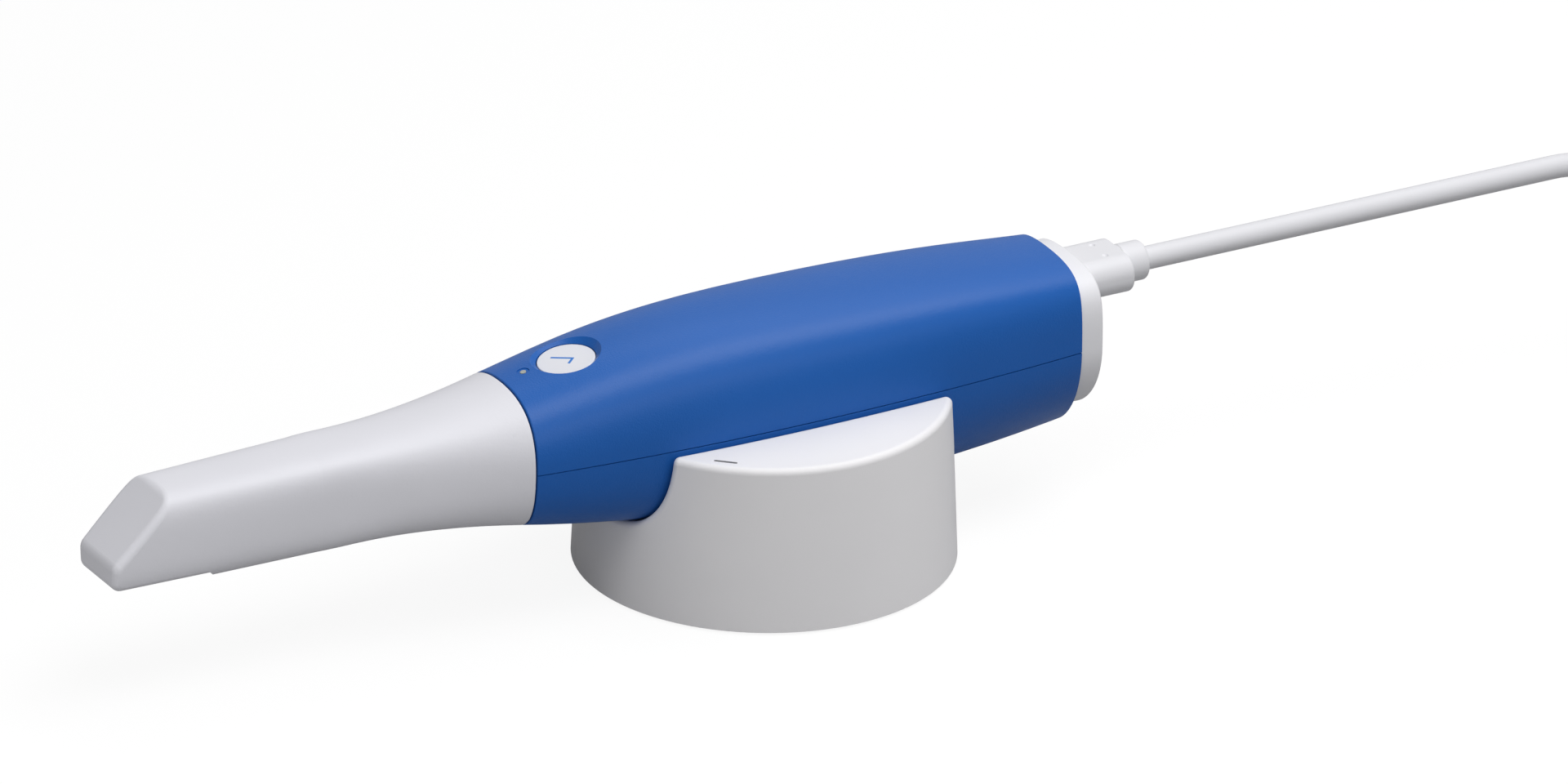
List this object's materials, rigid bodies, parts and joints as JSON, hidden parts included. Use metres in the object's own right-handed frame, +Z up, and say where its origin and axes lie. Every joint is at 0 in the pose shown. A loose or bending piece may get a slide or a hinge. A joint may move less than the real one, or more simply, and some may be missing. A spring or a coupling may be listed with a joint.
{
  "type": "intraoral scanner",
  "caption": "Hand-held intraoral scanner with a blue two-shell handle, pull-off white tip, scan button and cable, lying in its round desktop cradle.",
  "frame": {"origin": "centre of the cradle's foot, on the table", "axes": "+X along the scanner to its cable, -X to its tip, +Z up from the table"},
  "size_m": [0.4844, 0.1425, 0.0647],
  "materials": {
    "cradle_plastic": "fine satin",
    "handle_blue": "soft satin",
    "tip_white": "smooth satin",
    "cap_white": "smooth satin",
    "button_white": "satin",
    "light_pipe": "clear gloss",
    "cable_white": "smooth satin",
    "dark_plastic": "fine grain",
    "seal_rubber": "matt",
    "lens_glass": "coated",
    "mirror_glass": "polished",
    "chassis_metal": "machined",
    "board_green": "solder mask",
    "screw_steel": "plain",
    "ballast_steel": "plain"
  },
  "bodies": {
    "scanner": {"cradle_body": "cradle_plastic", "cradle_base_plate": "cradle_plastic", "cradle_foot_pad": "seal_rubber", "cradle_ballast": "ballast_steel", "cradle_screws": "screw_steel", "upper_shell": "handle_blue", "lower_shell": "handle_blue", "rear_cap": "cap_white", "button_switch": "dark_plastic", "status_light": "light_pipe", "nose_barrel": "dark_plastic", "nose_seal": "seal_rubber", "front_lens": "lens_glass", "optics_chassis": "chassis_metal", "chassis_screws": "screw_steel", "beam_prism": "lens_glass", "projector_module": "dark_plastic", "projector_lens": "lens_glass", "camera_module": "dark_plastic", "camera_lens": "dark_plastic", "main_board": "board_green", "processor_chip": "dark_plastic", "heat_sink": "chassis_metal", "connector_socket": "dark_plastic", "cable_plug": "cap_white", "strain_relief": "cap_white", "cable": "cable_white", "cable_coil": "cable_white", "coil_tie": "dark_plastic", "cable_tail": "cable_white", "far_connector": "cap_white"},
    "tip": {"tip_shell": "tip_white", "tip_mirror": "mirror_glass"},
    "button": {"scan_button": "button_white"}
  },
  "joints": [
    {"name": "tip_pull", "type": "slide", "parent": "scanner", "child": "tip", "axis": [-1, 0, 0], "range_m": [0, 0.04]},
    {"name": "button_press", "type": "slide", "parent": "scanner", "child": "button", "axis": [0.1707, 0, -0.9853], "range_m": [0, 0.0005], "stiffness_N_per_m": 3000}
  ]
}
